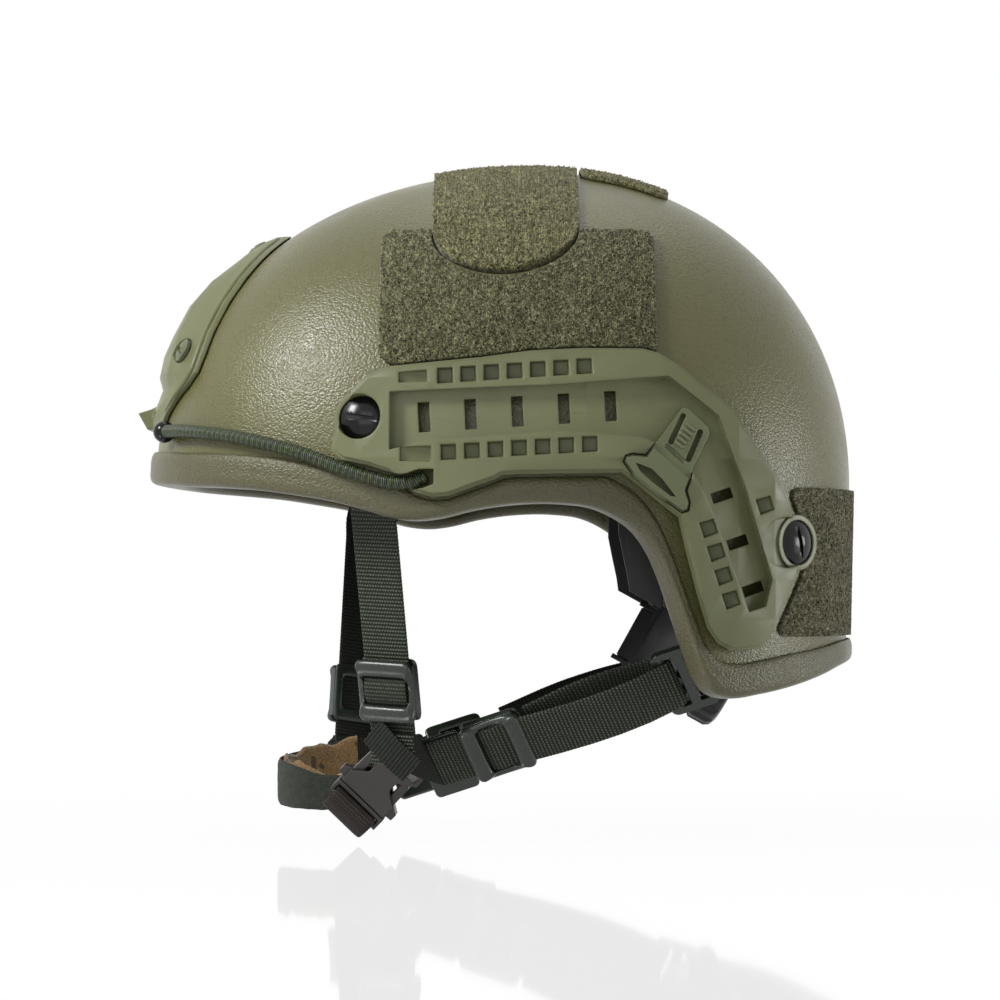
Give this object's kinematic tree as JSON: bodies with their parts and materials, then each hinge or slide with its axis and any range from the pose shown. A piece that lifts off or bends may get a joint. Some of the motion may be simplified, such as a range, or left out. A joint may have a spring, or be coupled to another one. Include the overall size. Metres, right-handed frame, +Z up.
{
  "type": "combat helmet",
  "caption": "High-cut combat helmet with side accessory rails, front mount plate, loop patches, padded liner with a rear adjusting dial, and a chin harness with sliders and a buckle",
  "frame": {"origin": "Middle of the head opening, level with the edge over the ears, where the wearer's head seats", "axes": "-Y is the front, +X the wearer's left, +Z up"},
  "size_m": [0.2436, 0.2854, 0.2656],
  "materials": {
    "shell_coating": "satin olive coating with a fine pebbled grain",
    "edge_band": "rounded edge band with the same coating",
    "rail_plastic": "smooth moulded plastic",
    "black_metal": "glossy black",
    "dark_metal": "blackened",
    "olive_metal": "satin olive paint",
    "bungee_cord": "braided elastic cord",
    "loop_fabric": "woolly loop fabric",
    "pad_fabric": "padded black fabric",
    "liner_plastic": "moulded black plastic",
    "webbing": "ribbed webbing",
    "slider_plastic": "glossy dark green plastic",
    "cup_fabric": "padded cloth"
  },
  "bodies": {
    "helmet": {"shell": "shell_coating", "edge_trim": "edge_band", "rail_left": "rail_plastic", "rail_right": "rail_plastic", "rail_clip_left": "rail_plastic", "rail_clip_right": "rail_plastic", "rail_screws": "black_metal", "rail_nuts": "dark_metal", "front_plate": "rail_plastic", "front_plate_screws": "olive_metal", "front_plate_nuts": "dark_metal", "bungee_left": "bungee_cord", "bungee_right": "bungee_cord", "bungee_balls": "black_metal", "side_patch_left": "loop_fabric", "side_patch_right": "loop_fabric", "crown_strip": "loop_fabric", "crown_rear_patch": "loop_fabric", "rear_patch": "loop_fabric", "pad_crown": "pad_fabric", "pad_front": "pad_fabric", "pad_rear": "pad_fabric", "pad_left": "pad_fabric", "pad_right": "pad_fabric", "headband": "liner_plastic", "headband_rivets": "liner_plastic", "yoke_left": "liner_plastic", "yoke_right": "liner_plastic", "dial_housing": "liner_plastic", "dial_hanger": "liner_plastic", "nape_pad": "pad_fabric", "strap_anchors": "dark_metal", "front_strap_left": "webbing", "front_strap_right": "webbing", "rear_strap_left": "webbing", "rear_strap_right": "webbing", "strap_ring_left": "slider_plastic", "strap_ring_right": "slider_plastic", "keeper_left": "slider_plastic", "keeper_right": "slider_plastic", "cheek_web_left": "webbing", "cheek_web_right": "webbing", "chin_cup": "cup_fabric", "chin_strap": "webbing", "buckle_socket": "slider_plastic"},
    "dial": {"dial_pinion": "liner_plastic", "dial_knob": "liner_plastic"},
    "rack_left": {"rack_band_left": "liner_plastic"},
    "rack_right": {"rack_band_right": "liner_plastic"},
    "slide_front_left": {"front_slider_left": "slider_plastic", "front_slider_web_left": "webbing"},
    "slide_front_right": {"front_slider_right": "slider_plastic", "front_slider_web_right": "webbing"},
    "slide_rear_left": {"rear_slider_left": "slider_plastic", "rear_slider_web_left": "webbing"},
    "slide_rear_right": {"rear_slider_right": "slider_plastic", "rear_slider_web_right": "webbing"},
    "plug": {"buckle_plug": "slider_plastic", "buckle_web": "webbing"}
  },
  "joints": [
    {"name": "dial_turn", "type": "hinge", "parent": "helmet", "child": "dial", "pos_m": [0, 0.08159, -0.06906], "axis": [0, 0.8746, -0.4848], "range_deg": [0, 180]},
    {"name": "left_band_draw", "type": "hinge", "parent": "helmet", "child": "rack_left", "pos_m": [0, -0.0015, -0.023], "axis": [0, 0.4848, 0.8746], "range_deg": [0, 12]},
    {"name": "right_band_draw", "type": "hinge", "parent": "helmet", "child": "rack_right", "pos_m": [0, -0.0015, -0.023], "axis": [0, 0.4848, 0.8746], "range_deg": [-12, 0]},
    {"name": "front_left_adjust", "type": "slide", "parent": "helmet", "child": "slide_front_left", "axis": [0.2389, -0.0806, 0.9677], "range_m": [0, 0.03]},
    {"name": "front_right_adjust", "type": "slide", "parent": "helmet", "child": "slide_front_right", "axis": [-0.2215, 0.0449, 0.9741], "range_m": [0, 0.03]},
    {"name": "rear_left_adjust", "type": "slide", "parent": "helmet", "child": "slide_rear_left", "axis": [0.2083, 0.9268, 0.3124], "range_m": [0, 0.02]},
    {"name": "rear_right_adjust", "type": "slide", "parent": "helmet", "child": "slide_rear_right", "axis": [-0.1788, 0.9386, 0.295], "range_m": [0, 0.02]},
    {"name": "buckle_release", "type": "slide", "parent": "helmet", "child": "plug", "axis": [-0.2499, -0.6797, -0.6897], "range_m": [0, 0.025]}
  ],
  "couplings": [
    {"joint": "left_band_draw", "follows": "dial_turn", "ratio": 0.065934},
    {"joint": "right_band_draw", "follows": "dial_turn", "ratio": -0.065934}
  ]
}
